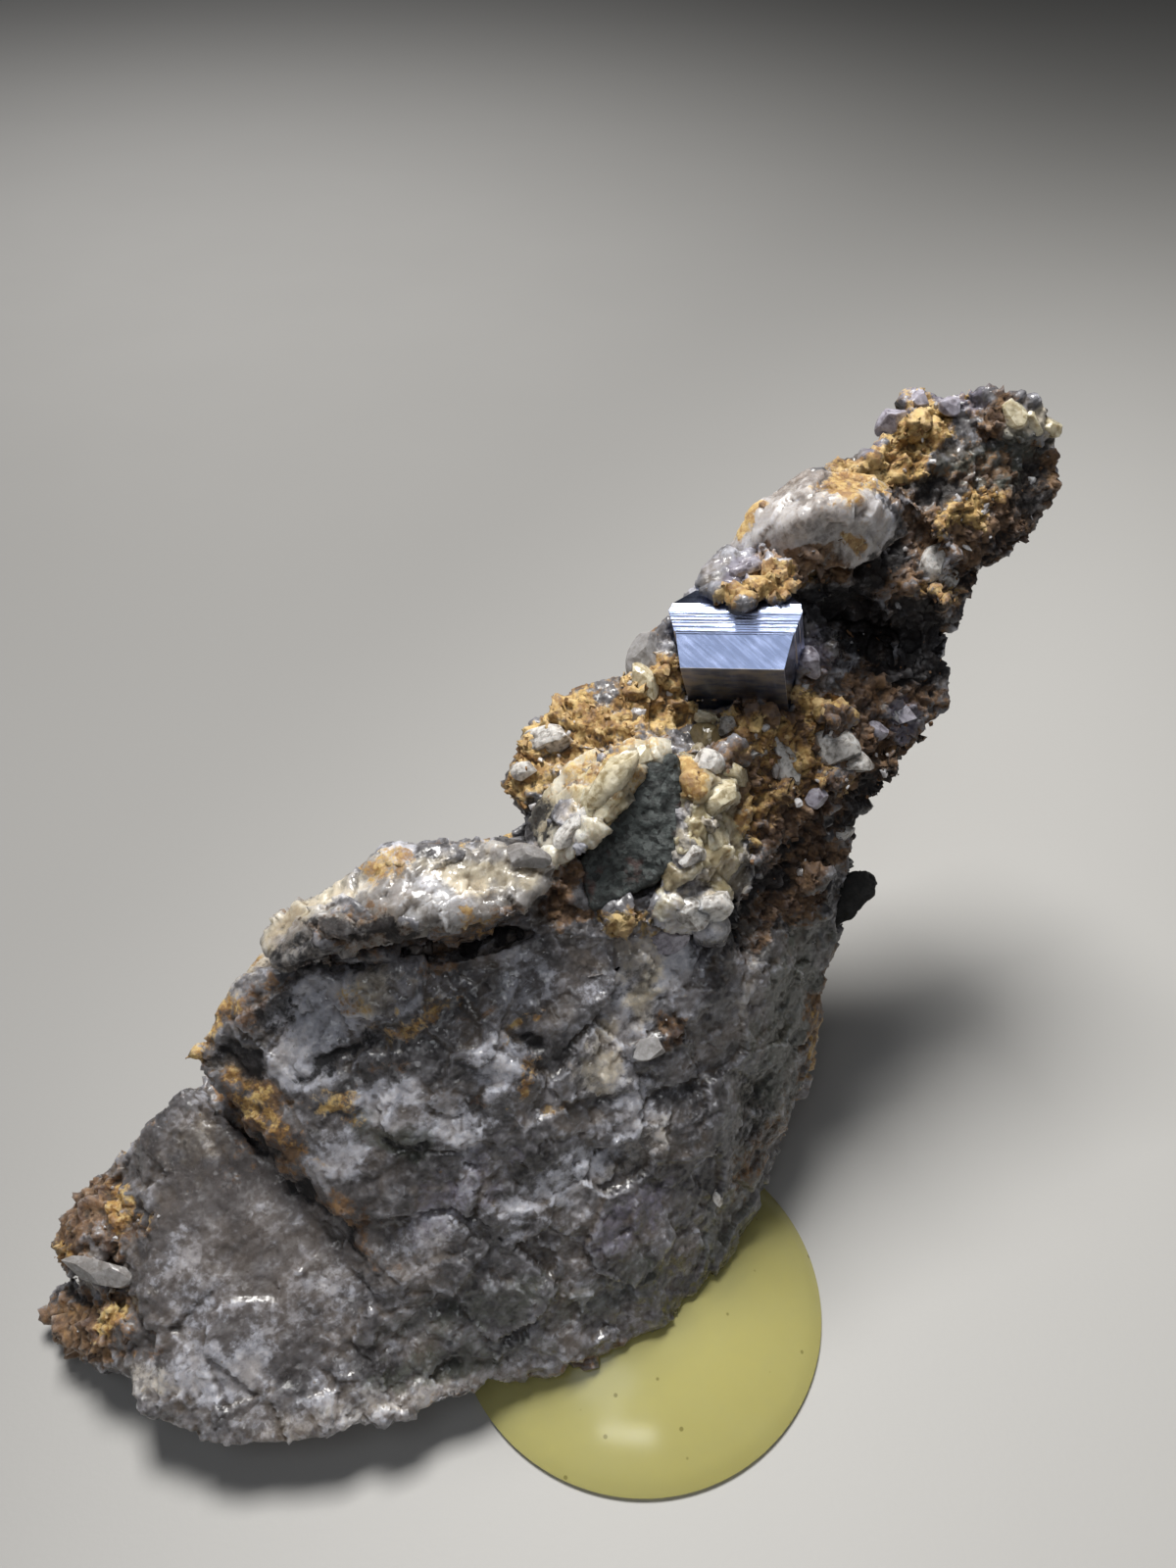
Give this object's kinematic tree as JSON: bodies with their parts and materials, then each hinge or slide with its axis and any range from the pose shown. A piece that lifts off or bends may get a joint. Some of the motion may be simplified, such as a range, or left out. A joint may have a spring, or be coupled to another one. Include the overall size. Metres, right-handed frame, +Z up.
{
  "type": "anatase mineral specimen",
  "caption": "Metallic blue-black anatase crystal on a rusty wedge of vein quartz, leaning back on a translucent yellow dome that holds it up for display.",
  "frame": {"origin": "middle of the dome's flat base, on the table", "axes": "+X along the specimen to the right as it is seen from the front, +Z up, -Y towards the viewer"},
  "size_m": [0.0781, 0.0627, 0.0568],
  "materials": {
    "quartz": "broken vein quartz, grey and milky, with ochre and rust stains",
    "anatase": "metallic blue-black lustre with fine striations",
    "schist": "matt dark green-grey",
    "stub": "dull black",
    "resin": "polished translucent yellow"
  },
  "bodies": {
    "root": {"quartz_matrix": "quartz", "anatase_crystal": "anatase", "schist_fragment": "schist", "black_stub": "stub", "resin_dome": "resin"}
  },
  "joints": []
}
